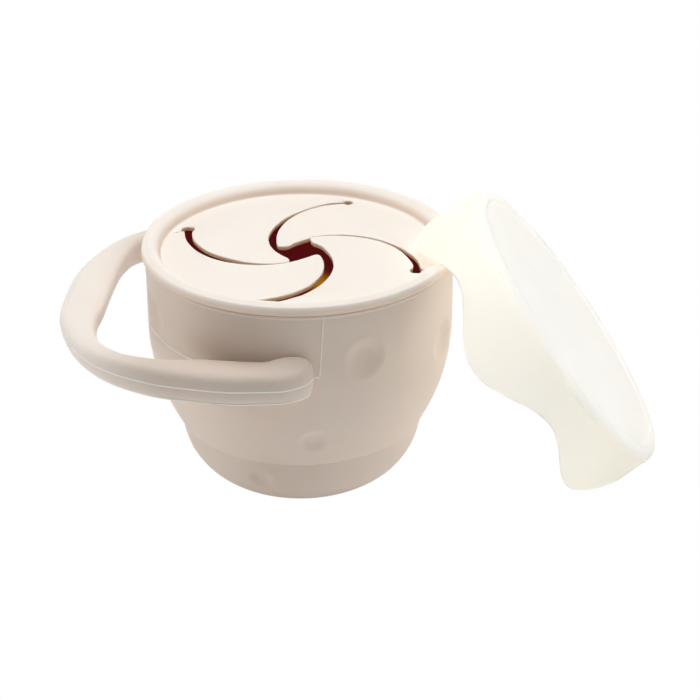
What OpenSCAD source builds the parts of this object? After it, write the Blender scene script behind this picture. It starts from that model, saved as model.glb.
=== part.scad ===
// Collapsible snack cup for a toddler: a soft cup with a loop handle, a soft lid whose
// four curved petals let a hand in, and a stiff translucent cover with a scalloped skirt.
// Sizes are in millimetres. The origin is the centre of the cup's foot, +Z is up, the
// handle reaches towards -X and the cover leans against the cup on the +X side.

/* [Cup] */
// Outer radius of the straight band at the top of the cup
cup_r = 48.9; // [44:0.1:60]
// Thickness of the soft wall
wall_t = 2.2; // [1.6:0.1:3]
// How far the bead at the mouth stands into the cup
bead_in = 0.5; // [0.3:0.1:1]
// Height of the straight band, up to the mouth
band_h = 25.1; // [22:0.1:40]
// Height of the stiff tapered part under the band
taper_h = 19; // [14:0.5:24]
// Height of the thin web that folds when the cup is pushed flat
web_h = 14.1; // [10:0.1:16]
// Radius of the curve that the taper and the web follow, seen from the side
taper_round = 64; // [58:1:90]

/* [Bowl] */
// Radius of the rounded side of the bowl
bowl_round = 22; // [18:0.5:26]
// Depth by which the flat foot cuts into the round bottom
foot_cut = 0.4; // [0.2:0.1:1.5]
// Thickness of the floor
floor_t = 2.6; // [1.8:0.1:4]
// Step inwards from the web to the top of the bowl
fold_step = 0.6; // [0.3:0.1:1.2]

/* [Craters] */
// Radius of a large crater
crater_big = 7.2; // [5:0.1:9]
// Radius of a small crater
crater_small = 4.6; // [3:0.1:6]
// Depth of a crater below the surface around it
crater_deep = 0.8; // [0.4:0.1:1.1]

/* [Handle] */
// Height of the handle's middle above the foot
handle_z = 58.4; // [55:0.1:60]
// How far the loop reaches out from the cup's axis, to the middle of its grip
handle_reach = 69.2; // [64:0.2:90]
// Half the width of the grip, seen from above
grip_half_w = 7.1; // [6:0.1:9]
// Half the height of the grip
grip_half_h = 4.3; // [3.5:0.1:6]
// Half the width of the loop beside the cup
arm_half_w = 6.2; // [4:0.1:6.4]
// Half the width of the loop at its corners
corner_half_w = 3.1; // [2.6:0.1:5]
// Half the height of the loop beside the cup
arm_half_h = 5.4; // [4:0.1:6]
// Radius of the round knuckle at each root
knuckle_r = 7.5; // [6:0.1:8]
// Half the width of the knuckle, seen from above
knuckle_half_w = 4.3; // [3.5:0.1:5]
// Distance of the knuckles from the cup's middle plane, towards the loop
knuckle_back = 2.5; // [0:0.5:6]

/* [Lid] */
// Clearance between the lid's groove and the cup's mouth
lid_fit = 0.3; // [0.2:0.05:0.6]
// Thickness of the lip outside the cup's wall
lip_t = 0.8; // [0.6:0.1:1.5]
// Thickness of the ring's inner wall
inner_t = 1.7; // [1.2:0.1:2.5]
// Thickness of the ring over the mouth
crown_t = 1.6; // [1.2:0.1:2.5]
// Height of the ring that shows outside
ring_h = 4; // [3:0.1:6]
// Depth of the disc below the top of the ring
recess = 3.9; // [3:0.1:6]
// Thickness of the disc and its petals
disc_t = 1.5; // [1.2:0.1:2.4]

/* [Petals] */
// Distance of the slits' outer ends from the axis
hole_at = 40; // [38:0.2:41]
// Radius of the round end of a slit
hole_r = 2.05; // [1.5:0.05:2.5]
// Width of a slit
slit_w = 2; // [1:0.1:3]
// Place of a slit's curve centre along the line from the axis to its end hole
slit_cx = 17; // [15:0.2:18]
// Distance of a slit's curve centre from that line
slit_cy = 9; // [8:0.2:10]
// Turn of the petals about the lid's axis, in degrees
lid_turn = 156.4; // [0:0.1:360]

/* [Cover] */
// Thickness of the cover
cover_t = 1; // [0.8:0.1:1.6]
// Clearance between the cover's skirt and the lid's ring
cover_fit = 0.2; // [0.1:0.05:0.6]
// Mean depth of the skirt
skirt_h = 18.7; // [16:0.5:24]
// Height of the scallops above and below the mean
scallop = 4.7; // [2:0.1:6]
// Extra depth of the scallop that reaches over the lid's ring
tongue = 0.6; // [0:0.1:3]
// Height of the raised line around the flat top
ridge_h = 0.5; // [0.2:0.1:1]
// How far the leaning cover's top scallop reaches in over the lid's rim
reach_over = 13.4; // [10:0.2:16]
// Height of that scallop's tip above the lid's rim
tip_gap = 1.1; // [0.9:0.1:2]
// Sideways place of the leaning cover
cover_y = -7.4; // [-12:0.1:12]

/* [Hidden] */
$fn = 96;

flex_gap = 0.3;        // gap between two pieces that flex or slide past each other
merge = 0.4;           // depth by which two shapes of one piece run into each other
far = 200;             // longer than anything here

// Heights of the cup's parts, from the foot up
bowl_top = bowl_round - foot_cut;
web_low = bowl_top + flex_gap;
web_top = web_low + web_h;
band_low = web_top + taper_h;
mouth = band_low + band_h;

taper_cx = cup_r - taper_round;
bowl_r = taper_radius(web_low) - fold_step;
bowl_cx = bowl_r - bowl_round;
inside_r = cup_r - wall_t;

// Lid sizes that follow from the cup's mouth
ring_in = inside_r - bead_in - lid_fit - inner_t;
ring_out = cup_r + lid_fit + lip_t;
ring_top = mouth + lid_fit + crown_t;
ring_low = ring_top - ring_h;
disc_top = ring_top - recess;
disc_low = disc_top - disc_t;
round_out = 2.2;       // rounding of the ring's outer edge
round_in = 1.2;        // rounding of the ring's inner edge

// Slits: each is an arc that starts at its end hole
slit_r = norm([hole_at - slit_cx, slit_cy]);
slit_in = slit_r - slit_w / 2;
slit_out = slit_r + slit_w / 2;
// A petal bends on the line from one hole that just touches the next slit. Its outward
// normal is turned by hinge_turn from the line through the first hole
hinge_far = norm([slit_cx, hole_at + slit_cy]);
hinge_turn = 90 - atan2(hole_at + slit_cy, slit_cx) + asin(slit_out / hinge_far);
hinge_off = hole_at * sin(hinge_turn);
root_r = disc_t / 2 - 0.05;
touch_at = -slit_cx * sin(hinge_turn) - slit_cy * cos(hinge_turn);
root_from = touch_at + root_r;
root_to = hole_at * cos(hinge_turn) - hole_r - flex_gap;

cover_r = ring_out + cover_fit + cover_t;
draft = 0.02;          // widening of the skirt for each millimetre of depth
floor_gap = 0.1;
tip_depth = skirt_h + scallop;
tip_r = cover_r + draft * tip_depth;
// The cover leans on its lowest scallop until the top one is tip_gap above the rim
lean = acos((ring_top + tip_gap - floor_gap) / norm([2 * tip_r, tongue]))
  - atan2(tongue, 2 * tip_r);
cover_x = ring_out - reach_over + tip_depth * cos(lean) + tip_r * sin(lean);

// Outer radius of the taper and the web at height z
function taper_radius(z) = taper_cx + sqrt(pow(taper_round, 2) - pow(band_low - z, 2));

// ---------------------------------------------------------------- cup

// Half section of a curved wall: a ring between two arcs, kept between two heights
module arc_wall(cx, cz, r, low, high) {
  intersection() {
    difference() {
      translate([cx, cz]) circle(r = r);
      translate([cx, cz]) circle(r = r - wall_t);
    }
    translate([max(cx, 1), low]) square([far, high - low]);
  }
}

// A shallow round dent, cut by a large ball. The ball sits on the outward line at the
// angle tilt from a curve's centre (cx, cz), whose radius is r
module crater(turn, cx, cz, r, tilt, size) {
  ball = (size * size + crater_deep * crater_deep) / (2 * crater_deep);
  out = r + ball - crater_deep;
  rotate([0, 0, turn])
    translate([cx + out * cos(tilt), 0, cz + out * sin(tilt)])
      sphere(r = ball);
}

// Craters on the straight band at the angle turn and the height z
module band_crater(turn, z, size) crater(turn, 0, z, cup_r, 0, size);

// Craters on the taper and the web, down along their curve
module taper_crater(turn, z, size) {
  crater(turn, taper_cx, band_low, taper_round, asin((z - band_low) / taper_round), size);
}

// Craters on the rounded bowl
module bowl_crater(turn, z, size) {
  crater(turn, bowl_cx, bowl_top, bowl_round, asin((z - bowl_top) / bowl_round), size);
}

module band_craters() {
  high = band_low + band_h * 0.34;
  low = band_low + band_h * 0.1;
  for (turn = [-156, -61, 14, 58, 131, 166]) band_crater(turn, high, crater_big);
  for (turn = [-128, 36, 112]) band_crater(turn, low, crater_small);
}

module taper_craters() {
  middle = web_top + taper_h * 0.75;
  for (turn = [-22, 79, 150]) taper_crater(turn, middle, crater_big);
}

module web_craters() {
  middle = web_low + web_h * 0.62;
  for (turn = [-84, -172, 24, 62, 118]) taper_crater(turn, middle, crater_small);
}

module bowl_craters() {
  middle = bowl_top * 0.6;
  for (turn = [-110, -168, 8, 48, 92, 142]) bowl_crater(turn, middle, crater_small);
}

// Flat round pad beside each handle root
module root_pads() {
  pad_out = cup_r + flex_gap * 2;
  difference() {
    for (side = [-1, 1]) {
      translate([-knuckle_back, side * pad_out, handle_z])
        rotate([side * 90, 0, 0])
          cylinder(r = knuckle_r, h = wall_t * 2);
    }
    translate([0, 0, -1]) cylinder(r = inside_r + merge, h = far);
  }
}

module cup_wall() {
  color("mistyrose")
  difference() {
    union() {
      rotate_extrude() {
        translate([inside_r, band_low - merge]) square([wall_t, band_h + merge]);
        translate([inside_r - bead_in, mouth - ring_h]) square([wall_t, ring_h]);
        arc_wall(taper_cx, band_low, taper_round, web_top, band_low);
      }
      root_pads();
    }
    band_craters();
    taper_craters();
  }
}

module fold_web() {
  color("mistyrose")
  difference() {
    rotate_extrude() arc_wall(taper_cx, band_low, taper_round, web_low, web_top);
    web_craters();
  }
}

module base_bowl() {
  inner_round = bowl_round - wall_t;
  color("mistyrose")
  difference() {
    rotate_extrude() {
      difference() {
        union() {
          square([bowl_cx, bowl_top]);
          intersection() {
            translate([bowl_cx, bowl_top]) circle(r = bowl_round);
            square([far, bowl_top]);
          }
        }
        translate([0, floor_t]) square([bowl_cx, far]);
        intersection() {
          translate([bowl_cx, bowl_top]) circle(r = inner_round);
          translate([0, floor_t]) square([far, far]);
        }
      }
    }
    bowl_craters();
  }
}

// ---------------------------------------------------------------- handle

// One side of the loop: [x, y, half width, half height] from the knuckle to the grip
knuckle_y = cup_r + flex_gap * 3 + knuckle_half_w;
corner_h = (arm_half_h + grip_half_h) / 2;
swell = 0.2;           // the arm widens by this behind its knuckle, on the outer side only

// Place along X, as a share of the way from the knuckles out to the grip
function out_to(share) = -knuckle_back - (handle_reach - knuckle_back) * share;

half_loop = [
  [-knuckle_back, knuckle_y, knuckle_half_w, knuckle_r],
  [out_to(0.12), knuckle_y + swell, knuckle_half_w + swell, (knuckle_r + arm_half_h) / 2],
  [out_to(0.24), knuckle_y * 0.993, arm_half_w, arm_half_h + 0.2],
  [out_to(0.4), knuckle_y * 0.969, arm_half_w - 0.2, arm_half_h],
  [out_to(0.6), knuckle_y * 0.932, (arm_half_w + corner_half_w) / 2, arm_half_h],
  [out_to(0.786), knuckle_y * 0.828, corner_half_w, arm_half_h],
  [out_to(0.934), knuckle_y * 0.586, corner_half_w + 0.8, corner_h],
  [out_to(0.987), knuckle_y * 0.336, grip_half_w * 0.845, grip_half_h],
  [-handle_reach, 0, grip_half_w, grip_half_h],
];
last = len(half_loop) - 1;
whole_loop = concat(
  [for (i = [0:last]) mirror_y(half_loop[i])],
  [for (i = [last - 1:-1:0]) half_loop[i]]);
steps = 4;             // rings between two stations of the loop
sides = 20;            // points around the loop's section
squareness = 2.9;      // power of the section's rounded outline
nose = [0.35, 0.65, 0.85, 0.97];

function mirror_y(p) = [p[0], -p[1], p[2], p[3]];

// Point between b and c on the smooth curve through a, b, c and d
function smooth(a, b, c, d, t) =
  0.5 * (2 * b + (c - a) * t + (2 * a - 5 * b + 4 * c - d) * t * t
  + (3 * b - a - 3 * c + d) * t * t * t);

function station(i) = whole_loop[max(0, min(len(whole_loop) - 1, i))];

// Rings of the round nose past a knuckle's middle, where the height follows a circle
function nose_ring(p, share) =
  [p[0] + knuckle_r * share, p[1], p[2] * sqrt(1 - pow(share, 4)), knuckle_r * sqrt(1 - share * share)];

loop_path = concat(
  [for (i = [len(nose) - 1:-1:0]) nose_ring(station(0), nose[i])],
  [for (i = [0:2 * last - 1]) for (j = [0:steps - 1])
    smooth(station(i - 1), station(i), station(i + 1), station(i + 2), j / steps)],
  [station(2 * last)],
  [for (share = nose) nose_ring(station(2 * last), share)]);
rings = len(loop_path);

// Direction of the path at ring i, seen from above
function heading(i) =
  let(a = loop_path[max(0, i - 1)], b = loop_path[min(rings - 1, i + 1)])
  atan2(b[1] - a[1], b[0] - a[0]);

function power(v) = sign(v) * pow(abs(v), 2 / squareness);

// Points of ring i: a rounded outline across the path
function ring_points(i) =
  let(p = loop_path[i], way = heading(i))
  [for (k = [0:sides - 1])
    let(a = 360 * k / sides, w = p[2] * power(cos(a)), h = p[3] * power(sin(a)))
    [p[0] - w * sin(way), p[1] + w * cos(way), handle_z + h]];

module handle() {
  points = [for (i = [0:rings - 1]) each ring_points(i)];
  walls = [for (i = [0:rings - 2]) for (k = [0:sides - 1])
    let(a = i * sides + k, b = i * sides + (k + 1) % sides)
    [a, b, b + sides, a + sides]];
  ends = [[for (k = [sides - 1:-1:0]) k], [for (k = [0:sides - 1]) (rings - 1) * sides + k]];
  color("mistyrose") polyhedron(points = points, faces = concat(walls, ends), convexity = 6);
}

// ---------------------------------------------------------------- lid

// Half plane on the axis's side of a petal's bending line, moved out by extra
module bend_side(extra) {
  rotate([0, 0, hinge_turn])
    translate([hinge_off + extra - far, -far])
      square([far, far * 2]);
}

// The corner beside the bending line, between the next slit's curve and the first slit
module bend_corner(extra) {
  rotate([0, 0, hinge_turn])
    translate([hinge_off * 0.6, touch_at - extra])
      square([hinge_off, root_to - touch_at - hole_r]);
}

// The slit that starts at the first hole, and the one a quarter turn on, as full discs
module first_disc(r) translate([slit_cx, -slit_cy]) circle(r = r);
module next_disc(r) translate([slit_cy, slit_cx]) circle(r = r);

// Outline of one petal: it lies inside the next slit's arc and outside the first one's
module petal_outline() {
  difference() {
    intersection() {
      bend_side(0);
      union() {
        next_disc(slit_in);
        bend_corner(0);
      }
    }
    first_disc(slit_out);
    translate([0, hole_at]) circle(r = hole_r);
  }
}

// The part of the disc that one petal and its slit take up
module petal_space() {
  intersection() {
    bend_side(root_r + flex_gap);
    union() {
      next_disc(slit_out);
      bend_corner(flex_gap);
    }
  }
  translate([0, hole_at]) circle(r = hole_r);
}

module flap(number) {
  color("linen")
  rotate([0, 0, lid_turn - 90 * number])
  translate([0, 0, disc_low]) {
    linear_extrude(disc_t) petal_outline();
    rotate([0, 0, hinge_turn])
      translate([hinge_off, root_from, disc_t / 2])
        rotate([-90, 0, 0])
          cylinder(r = root_r, h = root_to - root_from);
  }
}

module flap_1() flap(1);
module flap_2() flap(2);
module flap_3() flap(3);
module flap_4() flap(4);

// Half section of the ring that grips the cup's mouth
module ring_section() {
  groove_in = inside_r - bead_in - lid_fit;
  groove_out = cup_r + lid_fit;
  difference() {
    union() {
      translate([ring_in, disc_low]) square([groove_in - ring_in, recess + disc_t - round_out]);
      translate([groove_in - merge, ring_low])
        square([ring_out - groove_in + merge, ring_h - round_out]);
      translate([ring_in + round_in, ring_top - round_out - merge])
        square([ring_out - ring_in - round_in - round_out, round_out + merge]);
      translate([ring_out - round_out, ring_top - round_out]) circle(r = round_out);
      translate([ring_in + round_in, ring_top - round_in]) circle(r = round_in);
      translate([ring_in, ring_top - round_out - merge]) square([round_in, round_out + merge - round_in]);
    }
    translate([groove_in, disc_low - 1])
      square([groove_out - groove_in, mouth + lid_fit - disc_low + 1]);
  }
}

module lid_ring() {
  color("linen")
  union() {
    rotate_extrude() ring_section();
    translate([0, 0, disc_low]) linear_extrude(disc_t) difference() {
      circle(r = ring_in + merge);
      for (quarter = [0:3]) rotate([0, 0, lid_turn + 90 * quarter]) petal_space();
    }
  }
}

// ---------------------------------------------------------------- cover

lobes = 6;
lobe_shift = 1.4;      // turn of the scallops, in degrees
columns = 96;
ridge_in = 2.4;        // width of the raised line

// Depth of the skirt's edge at angle a, where 180 degrees is the side by the lid
function edge_depth(a) =
  skirt_h + scallop * cos(lobes * (a - lobe_shift))
  + tongue * pow(max(0, -cos(a - lobe_shift)), 4);

// Reach of the skirt's edge below the middle of the leaning cover, at angle a
function edge_low(a) =
  let(s = edge_depth(a))
  (cover_r + draft * s) * cos(a) * cos(lean) + s * sin(lean);

cover_z = max([for (k = [0:columns - 1]) edge_low(360 * k / columns)]) + floor_gap;

// One row of the cover's skin: fixed radius and height, or a share of the skirt's depth
function flat_row(r, z) =
  [for (k = [0:columns - 1]) let(a = 360 * k / columns) [r * cos(a), r * sin(a), z]];
function skirt_row(share, inset) =
  [for (k = [0:columns - 1])
    let(a = 360 * k / columns, s = edge_depth(a) * share, r = cover_r - inset + draft * s)
    [r * cos(a), r * sin(a), -s]];

cover_rows = [
  flat_row(cover_r - ridge_in - 1, 0),
  flat_row(cover_r - ridge_in, ridge_h),
  flat_row(cover_r - 1.1, ridge_h),
  flat_row(cover_r - 0.3, -0.3),
  skirt_row(0.1, 0),
  skirt_row(0.5, 0),
  skirt_row(1, 0),
  skirt_row(1, cover_t),
  skirt_row(0.5, cover_t),
  skirt_row(0.12, cover_t),
  flat_row(cover_r - cover_t - 1, -cover_t),
];

module cover() {
  rows = len(cover_rows);
  points = concat([for (row = cover_rows) each row], [[0, 0, 0], [0, 0, -cover_t]]);
  top = rows * columns;
  skin = [for (i = [0:rows - 2]) for (k = [0:columns - 1])
    let(a = i * columns + k, b = i * columns + (k + 1) % columns)
    [a, b, b + columns, a + columns]];
  caps = [for (k = [0:columns - 1]) each [
    [top, (k + 1) % columns, k],
    [top + 1, (rows - 1) * columns + k, (rows - 1) * columns + (k + 1) % columns]]];
  color("ivory", 0.8)
  translate([cover_x, cover_y, cover_z])
    rotate([0, 90 - lean, 0])
      polyhedron(points = points, faces = concat(skin, caps), convexity = 6);
}

cup_wall();
fold_web();
base_bowl();
handle();
lid_ring();
flap_1();
flap_2();
flap_3();
flap_4();
cover();
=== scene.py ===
import math

import bpy
import numpy as np
from mathutils import Matrix, Vector


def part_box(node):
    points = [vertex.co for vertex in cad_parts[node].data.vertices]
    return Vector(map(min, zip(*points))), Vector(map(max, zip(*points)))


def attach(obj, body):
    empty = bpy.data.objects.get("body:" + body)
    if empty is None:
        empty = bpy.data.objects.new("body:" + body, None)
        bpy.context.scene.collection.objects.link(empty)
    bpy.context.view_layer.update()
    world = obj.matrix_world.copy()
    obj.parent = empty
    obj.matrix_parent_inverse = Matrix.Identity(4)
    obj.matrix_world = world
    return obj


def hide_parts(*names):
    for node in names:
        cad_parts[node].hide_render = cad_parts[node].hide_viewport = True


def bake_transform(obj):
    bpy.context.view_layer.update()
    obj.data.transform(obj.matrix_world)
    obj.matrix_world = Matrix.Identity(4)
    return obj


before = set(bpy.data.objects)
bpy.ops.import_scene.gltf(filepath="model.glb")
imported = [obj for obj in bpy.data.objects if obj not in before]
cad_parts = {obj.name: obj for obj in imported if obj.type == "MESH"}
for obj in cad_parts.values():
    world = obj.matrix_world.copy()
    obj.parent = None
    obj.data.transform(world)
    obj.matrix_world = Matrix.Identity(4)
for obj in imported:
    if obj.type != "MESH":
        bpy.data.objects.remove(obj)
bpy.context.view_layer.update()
mm = 0.001  # shapes are worked out in millimetres; the meshes and the finishes are in metres
print("frame loaded:", sorted(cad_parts))


def nodeBox(name):  # lowest and highest corner of a CAD node, in millimetres
    low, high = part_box(name)
    return np.array(low) / mm, np.array(high) / mm


def ease(a, b, x):  # 0 before a, 1 after b, smooth between
    t = np.clip((np.asarray(x, float) - a) / (b - a), 0, 1)
    return t * t * (3 - 2 * t)


def line(a, b, count, last=False):  # points from a towards b, and b itself only if last
    t = np.linspace(0, 1, count, endpoint=last)[:, None]
    return np.array(a, float) * (1 - t) + np.array(b, float) * t


def arc(centre, radius, start, end, count):  # on a circle, in degrees, up to but not at the end
    a = np.radians(np.linspace(start, end, count, endpoint=False))
    return np.stack([centre[0] + radius * np.cos(a), centre[1] + radius * np.sin(a)], 1)


def curveThrough(points, steps):  # Catmull-Rom curve through the rows of points
    p = np.asarray(points, float)
    p = np.concatenate([2 * p[:1] - p[1:2], p, 2 * p[-1:] - p[-2:-1]])
    t = np.linspace(0, 1, steps, endpoint=False)[None, :, None]
    a, b, c, d = (p[k:len(p) - 3 + k][:, None, :] for k in range(4))
    piece = 0.5 * (2 * b + (c - a) * t + (2 * a - 5 * b + 4 * c - d) * t ** 2
                   + (3 * b - a - 3 * c + d) * t ** 3)
    return np.concatenate([piece.reshape(-1, p.shape[1]), p[-2:-1]])


def evenly(points, count):  # the same open curve, cut into even steps
    p = np.asarray(points, float)
    along = np.concatenate([[0], np.cumsum(np.linalg.norm(np.diff(p, axis=0), axis=1))])
    want = np.linspace(0, along[-1], count)
    return np.stack([np.interp(want, along, p[:, k]) for k in range(p.shape[1])], 1)


def skin(name, grid, material, looped=False):
    # A closed surface from rings of points: grid[i, j] is point j of ring i, and each ring
    # is closed. Looped joins the last ring to the first; otherwise a fan closes each end.
    rows, cols, _ = grid.shape
    points = grid.reshape(-1, 3) * mm
    i, j = np.meshgrid(np.arange(rows if looped else rows - 1), np.arange(cols), indexing="ij")
    here, there = i * cols, ((i + 1) % rows) * cols
    side = (j + 1) % cols
    quads = np.stack([here + j, here + side, there + side, there + j], -1).reshape(-1, 4)
    fans = np.zeros((0, 3), int)
    if not looped:
        ends = np.stack([grid[0].mean(0), grid[-1].mean(0)]) * mm
        k = np.arange(cols)
        lastRow = (rows - 1) * cols
        points = np.concatenate([points, ends])
        fans = np.concatenate([
            np.stack([np.full(cols, rows * cols), (k + 1) % cols, k], 1),
            np.stack([np.full(cols, rows * cols + 1), lastRow + k, lastRow + (k + 1) % cols], 1)])
    halves = np.concatenate([quads[:, [0, 1, 2]], quads[:, [0, 2, 3]], fans])
    a, b, c = (points[halves[:, n]] for n in range(3))
    if np.einsum("ij,ij->", a, np.cross(b, c)) < 0:  # inside out
        quads, fans = quads[:, ::-1], fans[:, ::-1]
    mesh = bpy.data.meshes.new(name)
    mesh.from_pydata(points.tolist(), [], quads.tolist() + fans.tolist())
    mesh.polygons.foreach_set("use_smooth", np.ones(len(mesh.polygons), bool))
    mesh.materials.append(material)
    mesh.update()
    piece = bpy.data.objects.new(name, mesh)
    bpy.context.scene.collection.objects.link(piece)
    return piece


def revolved(profile, columns):  # rings around Z from rows of (radius, height)
    a = np.linspace(0, 2 * math.pi, columns, endpoint=False)
    r, z = profile[:, :1], profile[:, 1:]
    return np.stack([r * np.cos(a), r * np.sin(a), z + 0 * a], -1)


def tube(points, radius, sides=8):  # rings around a path in space
    p = np.asarray(points, float)
    way = np.gradient(p, axis=0)
    way /= np.linalg.norm(way, axis=1)[:, None]
    across = np.cross(way, [0.0, 0.0, 1.0]) + 1e-9
    steep = np.linalg.norm(across, axis=1)[:, None] < 0.2
    across = np.where(steep, np.cross(way, [1.0, 0.0, 0.0]), across)
    across /= np.linalg.norm(across, axis=1)[:, None]
    up = np.cross(across, way)
    a = np.linspace(0, 2 * math.pi, sides, endpoint=False)
    size = np.full(len(p), radius)
    size[0] = size[-1] = radius * 0.3  # pointed ends
    return (p[:, None] + size[:, None, None]
            * (across[:, None] * np.cos(a)[:, None] + up[:, None] * np.sin(a)[:, None]))


class Paint:
    # Wraps a socket, so that an expression on values adds its Math nodes
    def __init__(self, tree, socket):
        self.tree, self.socket = tree, socket

    def math(self, operation, *inputs):
        return addNode(self.tree, "ShaderNodeMath", operation=operation,
                       sockets=dict(enumerate(inputs)))

    def __add__(self, other):
        return self.math("ADD", self, other)

    def __sub__(self, other):
        return self.math("SUBTRACT", self, other)

    def __rsub__(self, other):
        return self.math("SUBTRACT", other, self)

    def larger(self, other):
        return self.math("MAXIMUM", self, other)

    def __mul__(self, other):
        return self.math("MULTIPLY", self, other)

    __radd__ = __add__
    __rmul__ = __mul__


def feed(tree, socket, value):  # a link, or a value of the socket's own
    if isinstance(value, Paint):
        tree.links.new(value.socket, socket)
    elif socket.type == "RGBA":
        socket.default_value = (*value, 1)
    else:
        socket.default_value = value


def addNode(tree, kind, output=0, sockets=None, **settings):
    # Any node, from its type, its settings, and the values or links of its sockets
    node = tree.nodes.new(kind)
    for key, value in settings.items():
        setattr(node, key, value)
    for key, value in (sockets or {}).items():
        feed(tree, node.inputs[key], value)
    return Paint(tree, node.outputs[output])


class Finish:
    # A material under construction
    def __init__(self, name):
        self.material = bpy.data.materials.new(name)
        self.material.use_nodes = True
        self.tree = self.material.node_tree
        self.shader = self.tree.nodes["Principled BSDF"]
        self.output = self.tree.nodes["Material Output"]

    def put(self, kind, **parts):
        return addNode(self.tree, kind, **parts)

    def place(self):  # the point on the piece, in metres
        return self.put("ShaderNodeTexCoord", output="Object")

    def along(self, axis):  # how far the point is along X, Y or Z
        return self.put("ShaderNodeSeparateXYZ", output=axis, sockets={0: self.place()})

    def away(self, point):  # how far the point is from another
        return self.put("ShaderNodeVectorMath", operation="DISTANCE", output="Value",
                        sockets={0: self.place(), 1: point})

    def noise(self, scale, detail):
        return self.put("ShaderNodeTexNoise", sockets={
            "Vector": self.place(), "Scale": scale, "Detail": detail, "Roughness": 0.5})

    def mix(self, amount, a, b):  # colour a where amount is 0, b where it is 1
        return self.put("ShaderNodeMix", data_type="RGBA", output=2,
                        sockets={0: amount, 6: a, 7: b})

    def between(self, value, low, high):  # 0 below low, 1 above high
        return self.put("ShaderNodeMapRange", interpolation_type="SMOOTHSTEP",
                        sockets={"Value": value, "From Min": low, "From Max": high})

    def bump(self, height, distance, strength):
        return self.put("ShaderNodeBump", sockets={
            "Height": height, "Distance": distance, "Strength": strength})

    def set(self, **values):  # the shader's own sockets
        for key, value in values.items():
            feed(self.tree, self.shader.inputs[key.replace("_", " ")], value)


def softMoulding(name, look):
    # Matt silicone: faint cloudiness, fine powdery grain, a little light through the skin
    finish = Finish(name)
    cloud = finish.between(finish.noise(26, 2), 0.35, 0.68)
    tone = finish.mix(cloud, look["colour"], look["cloudColour"])
    if "gripPaintedLight" in look:  # painted light and shade: a shadow above the near arm, arms darker on top and lighter below, a paler grip
        x, y = finish.along("X"), finish.along("Y")
        # painted shadow on the body above the near arm, fading with the distance from one point
        paintedShade = 1 - finish.between(finish.away(look["paintedShadeAt"]), *look["paintedShadeSize"])
        tone = finish.mix(look["paintedShadeDepth"] * paintedShade, tone, look["paintedShade"])
        # painted shade and light: the arms darker on top, where less light falls, and lighter
        # underneath, where the floor's light reaches
        beyond = finish.between(x * x + y * y, look["armFrom"] ** 2, look["armTo"] ** 2)
        under = 1 - finish.between(finish.along("Z"), *look["armHeights"])
        tone = finish.mix(beyond, tone, finish.mix(under, look["arm"], look["armUnder"]))
        # painted light: the grip paler, as where the top light falls on it
        tone = finish.mix(finish.between(x, *look["gripPaintedLightAcross"]), look["gripPaintedLight"], tone)
    if "warm" in look:  # painted shade: a warmer, darker tone on the ring's upright sides
        z, heights = finish.along("Z"), look["warmHeights"]
        upright = finish.between(z, *heights[:2]) * (1 - finish.between(z, *heights[2:]))
        tone = finish.mix(upright, tone, look["warm"])
    if "edge" in look:  # painted light: a warmer tone and a faint glow on the thin cut edges, standing in for light soaking through them
        depth = 1 - finish.between(finish.along("Z"), *look["edgeHeights"])
        tone = finish.mix(depth, tone, look["edge"])
        glow = finish.mix(depth, (0, 0, 0), look["edgePaintedGlow"])
        finish.set(Emission_Color=glow, Emission_Strength=1.0)
    finish.set(
        Base_Color=tone,
        Roughness=look["roughness"] + 0.06 * cloud,
        Normal=finish.bump(finish.noise(2600, 2), 0.00002, 0.35),
        Specular_IOR_Level=0.32,
        Sheen_Weight=0.12,
        Sheen_Roughness=0.5,
        Subsurface_Weight=look["through"],
        Subsurface_Radius=(1.0, 0.55, 0.35),
        Subsurface_Scale=0.0022)
    return finish.material


def paintedShadeInside(name):
    # Painted shade and glow for the inside of the cup: deep maroon where there is only shade, with
    # a painted amber glow low on the far side
    look = {
        "colour": (0.060, 0.0040, 0.0045),
        "paintedShade": (0.040, 0.0030, 0.0035),
        "glow": (0.070, 0.0042, 0.0048),
        "amberPaintedGlow": (0.38, 0.150, 0.003),
        "amberPaintedGlowAt": (0.0063, 0.0454, 0.0437),
        "amberPaintedGlowSize": 0.0062,
    }
    finish = Finish(name)
    cloud = finish.between(finish.noise(38, 1), 0.3, 0.7)
    amberPaintedGlow = 1 - finish.between(finish.away(look["amberPaintedGlowAt"]), 0.0, look["amberPaintedGlowSize"])
    finish.set(
        Base_Color=finish.mix(cloud, look["paintedShade"], look["colour"]),
        Roughness=0.6 + 0.1 * cloud,
        Emission_Color=finish.mix(amberPaintedGlow, look["glow"], look["amberPaintedGlow"]),
        Emission_Strength=1.0,
        Specular_IOR_Level=0.2)
    return finish.material


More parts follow.
